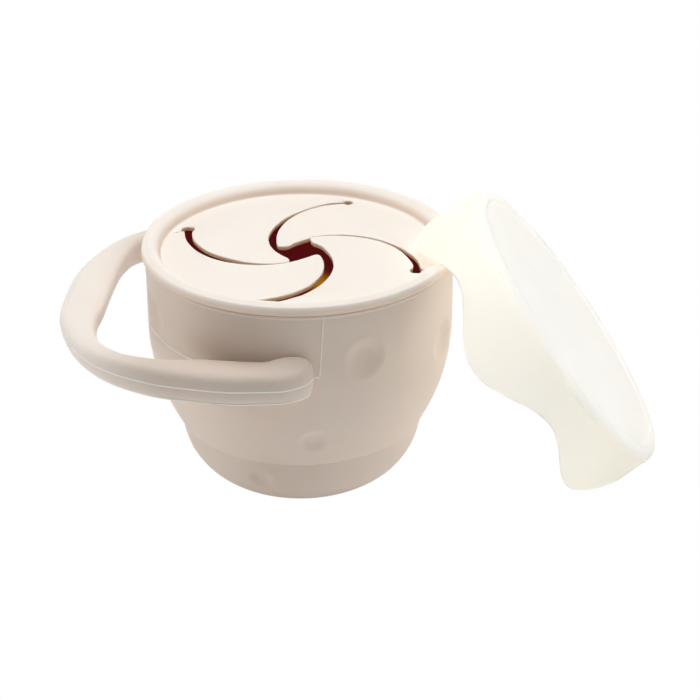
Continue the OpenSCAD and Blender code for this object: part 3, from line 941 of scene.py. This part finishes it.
cover = {
    "radius": 50.5,
    "wall": 1.0,
    "draft": 0.05,  # how the skirt widens, for each mm of depth
    "skirt": 18.7,  # mean depth
    "scallop": 4.7,  # waves of the skirt, above and below the mean
    "lobes": 6,
    "shift": 1.4,  # turn of the scallops, in degrees
    "tongue": 0.6,  # extra depth over the lid
    "ridge": 0.5,  # raised line around the face
    "ridgeIn": 5.1,  # its slope starts this far in from the side
    "ridgeSlope": 1.2,
    "corner": 2.6,
    "innerCorner": 1.0,
    "floorGap": 0.1,
    "reachOver": 13.4,  # how far the tip reaches over the ring
    "tipGap": 1.1,  # height of the tip over the ring
    "side": -7.4,  # place along Y
    "columns": 360,
}


def coverLean():  # the cover rests on the floor and reaches over the lid's rim
    tipDepth = cover["skirt"] + cover["scallop"]
    tipRadius = cover["radius"] + cover["draft"] * tipDepth
    rise = lid["top"] + cover["tipGap"] - cover["floorGap"]
    across = math.hypot(2 * tipRadius, cover["tongue"])
    lean = math.acos(rise / across) - math.atan2(cover["tongue"], 2 * tipRadius)
    x = lid["outer"] - cover["reachOver"] + tipDepth * math.cos(lean) + tipRadius * math.sin(lean)
    return lean, x


def skirtDepth(a):  # six scallops, the one over the lid a little deeper
    wave = cover["scallop"] * np.cos(cover["lobes"] * (a - math.radians(cover["shift"])))
    top = cover["tongue"] * np.clip(-np.cos(a - math.radians(cover["shift"])), 0, None) ** 4
    return cover["skirt"] + wave + top


def coverPlace():  # its lean, and the middle of its face
    a = np.linspace(0, 2 * math.pi, cover["columns"], endpoint=False)
    depth = skirtDepth(a)
    lean, x = coverLean()
    radius = cover["radius"] + cover["draft"] * depth
    lowest = np.max(radius * np.cos(a) * math.cos(lean) + depth * math.sin(lean))
    return lean, np.array([x, cover["side"], lowest + cover["floorGap"]])


def coverSkin():
    # Rings at every angle: a flat face, a raised line, a rounded corner, then a skirt with a
    # little draft whose depth is a cosine of six times the angle, and back up inside
    a = np.linspace(0, 2 * math.pi, cover["columns"], endpoint=False)
    depth = skirtDepth(a)
    r0, wall, corner = cover["radius"], cover["wall"], cover["corner"]
    rows = []

    def flat(r, z):
        rows.append(np.stack([r * np.cos(a), r * np.sin(a), z + 0 * a], 1))

    def skirt(share, inset):
        s = np.maximum(depth * share, corner)
        r = r0 - inset + cover["draft"] * s
        rows.append(np.stack([r * np.cos(a), r * np.sin(a), -s], 1))

    for r in (1.0, 12.0, 24.0, 36.0, 44.0):
        flat(r, 0.0)
    for t in np.linspace(0, 1, 7):
        flat(r0 - cover["ridgeIn"] + t * cover["ridgeSlope"], cover["ridge"] * float(ease(0, 1, t)))
    for angle in np.radians(np.linspace(90, 8, 9)):
        flat(r0 - corner + corner * math.cos(angle),
             cover["ridge"] - corner + corner * math.sin(angle))
    for share in np.linspace(0.12, 0.985, 30):
        skirt(share, 0.0)
    for angle in np.radians(np.linspace(30, 150, 6)):
        s = depth + wall / 2 * (math.sin(angle) - 1)
        r = r0 - wall / 2 + wall / 2 * math.cos(angle) + cover["draft"] * s
        rows.append(np.stack([r * np.cos(a), r * np.sin(a), -s], 1))
    for share in np.linspace(0.985, 0.14, 20):
        skirt(share, wall)
    inner = cover["innerCorner"]
    for angle in np.radians(np.linspace(0, 90, 5)):
        flat(r0 - wall - inner + inner * math.cos(angle), -wall - inner + inner * math.sin(angle))
    for r in (40.0, 24.0, 8.0, 1.0):
        flat(r, -wall)
    grid = np.stack(rows)
    lean, middle = coverPlace()
    c, s = math.cos(lean), math.sin(lean)
    spin = np.array([[s, 0, c], [0, 1, 0], [-c, 0, s]])  # local x runs down, local z faces out
    return grid @ spin.T + middle


def milkyPlastic(name, facing, faceLevel):
    # Frosted: milky and a little see-through, with a creamier skirt that is painted darker towards
    # the floor as painted shade, and a faint painted glow for light through the plastic. The face's
    # tone takes over between the two levels of faceDepth, which are measured from faceLevel along
    # facing.
    look = {
        "colour": (0.950, 0.948, 0.925),
        "cloudColour": (0.936, 0.933, 0.903),
        "skirt": (0.972, 0.950, 0.885),
        "low": (0.960, 0.938, 0.855),
        "lowHeights": (0.0, 0.045),
        "faceDepth": (-0.0024, -0.0006),
    }
    finish = Finish(name)
    cloud = finish.between(finish.noise(30, 2), 0.3, 0.7)
    tone = finish.mix(cloud * 0.6, look["colour"], look["cloudColour"])
    # painted shade: the skirt darker towards the floor
    low = 1 - finish.between(finish.along("Z"), *look["lowHeights"])
    skirt = finish.mix(low * 0.8, look["skirt"], look["low"])
    outwards = finish.along("X") * facing[0] + finish.along("Z") * facing[1]
    face = finish.between(outwards, *(faceLevel + depth for depth in look["faceDepth"]))
    finish.set(
        Base_Color=finish.mix(face, skirt, tone),
        Roughness=0.6 + 0.08 * cloud,
        Normal=finish.bump(finish.noise(1800, 2), 0.00001, 0.3),
        Alpha=0.95,
        Specular_IOR_Level=0.45,
        Transmission_Weight=0.6,
        # painted light: a faint warm glow standing in for light through the milky plastic
        Emission_Color=(1.0, 0.96, 0.88),
        Emission_Strength=0.042,
        IOR=1.2)
    finish.material.surface_render_method = "DITHERED"
    return finish.material


coverTilt, coverMiddle = coverPlace()
coverFacing = (math.cos(coverTilt), math.sin(coverTilt))
faceLevel = (coverMiddle[0] * coverFacing[0] + coverMiddle[2] * coverFacing[1]) * mm
milky = milkyPlastic("milkyPlastic", coverFacing, faceLevel)
coverPiece = skin("coverSkin", coverSkin(), milky)
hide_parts("cover")
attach(coverPiece, "cover")
print("cover made")


def showWhite(tree, plain, white, surface):
    # White to the camera and through the frosted cover, plain otherwise
    seen, through = (addNode(tree, "ShaderNodeLightPath", output=ray)
                     for ray in ("Is Camera Ray", "Is Transmission Ray"))
    feed(tree, surface, addNode(tree, "ShaderNodeMixShader", sockets={
        0: seen.larger(through), 1: plain, 2: white}))


stage = {
    "size": 2.5,  # half the floor's width, in metres
    "grey": 0.72,
    "bounce": 0.25,  # light that the floor throws back up
    "world": 0.15,
    "lamps": {  # place, width of the disc, power in watts
        "top": ((0.0, 0.05, 0.90), 0.9, 7.2),
        "left": ((-0.95, 0.05, 0.15), 0.6, 2.9),
        "right": ((0.95, 0.05, 0.15), 0.6, 2.4),
        "frontRight": ((0.80, -0.55, 0.25), 0.6, 0.25),
        "back": ((0.0, 1.0, 0.15), 0.6, 1.7),
    },
    "aim": (0, 0, 0.05),
}


def floorFinish(name):
    finish = Finish(name)
    finish.set(Base_Color=(stage["grey"],) * 3, Roughness=0.9, Specular_IOR_Level=0.0,
               Emission_Color=(1.0, 1.0, 1.0), Emission_Strength=stage["bounce"])
    glow = finish.put("ShaderNodeEmission", sockets={"Color": (1.0, 1.0, 1.0), "Strength": 1.0})
    plain = Paint(finish.tree, finish.shader.outputs[0])
    showWhite(finish.tree, plain, glow, finish.output.inputs["Surface"])
    return finish.material


def studioFloor():
    size = stage["size"]
    mesh = bpy.data.meshes.new("studioFloor")
    corners = [(-size, -size, 0), (size, -size, 0), (size, size, 0), (-size, size, 0)]
    mesh.from_pydata(corners, [], [(0, 1, 2, 3)])
    mesh.materials.append(floorFinish("floorFinish"))
    floor = bpy.data.objects.new("studioFloor", mesh)
    bpy.context.scene.collection.objects.link(floor)


def studioWorld():  # a plain even light
    world = bpy.data.worlds.new("studio")
    world.use_nodes = True
    tree = world.node_tree
    even, white = (addNode(tree, "ShaderNodeBackground", sockets={
        "Color": (1.0, 1.0, 1.0), "Strength": strength}) for strength in (stage["world"], 1.0))
    showWhite(tree, even, white, tree.nodes["World Output"].inputs["Surface"])
    bpy.context.scene.world = world


def lamp(name, place, size, power):
    data = bpy.data.lights.new(name, "AREA")
    data.shape = "DISK"
    data.size, data.energy = size, power
    light = bpy.data.objects.new(name, data)
    way = Vector(stage["aim"]) - Vector(place)
    light.rotation_euler = way.to_track_quat("-Z", "Y").to_euler()
    light.location = place
    bpy.context.scene.collection.objects.link(light)


view = {
    "elevation": 27.10,
    "roll": -0.30,
    "distance": 0.700,
    "target": (0.01596, 0.0, 0.04184),
    "sensor": 36,
    "lens": 2150 / 700,  # focal length, for each mm of the sensor
}


def makeCamera():
    e, roll = math.radians(view["elevation"]), math.radians(view["roll"])
    forward = Vector((0, math.cos(e), -math.sin(e)))
    right, up = Vector((1, 0, 0)), Vector((0, math.sin(e), math.cos(e)))
    c, s = math.cos(roll), math.sin(roll)
    right, up = right * c + up * s, up * c - right * s
    data = bpy.data.cameras.new("camera")
    data.lens, data.sensor_width = view["lens"] * view["sensor"], view["sensor"]
    camera = bpy.data.objects.new("camera", data)
    place = Vector(view["target"]) - forward * view["distance"]
    camera.matrix_world = Matrix((
        (right.x, up.x, -forward.x, place.x),
        (right.y, up.y, -forward.y, place.y),
        (right.z, up.z, -forward.z, place.z),
        (0, 0, 0, 1)))
    bpy.context.scene.collection.objects.link(camera)
    bpy.context.scene.camera = camera


studioFloor()
studioWorld()
for name, (place, width, power) in stage["lamps"].items():
    lamp(name, place, width, power)
makeCamera()
bpy.context.scene.view_settings.view_transform = "Standard"
print("stage made")
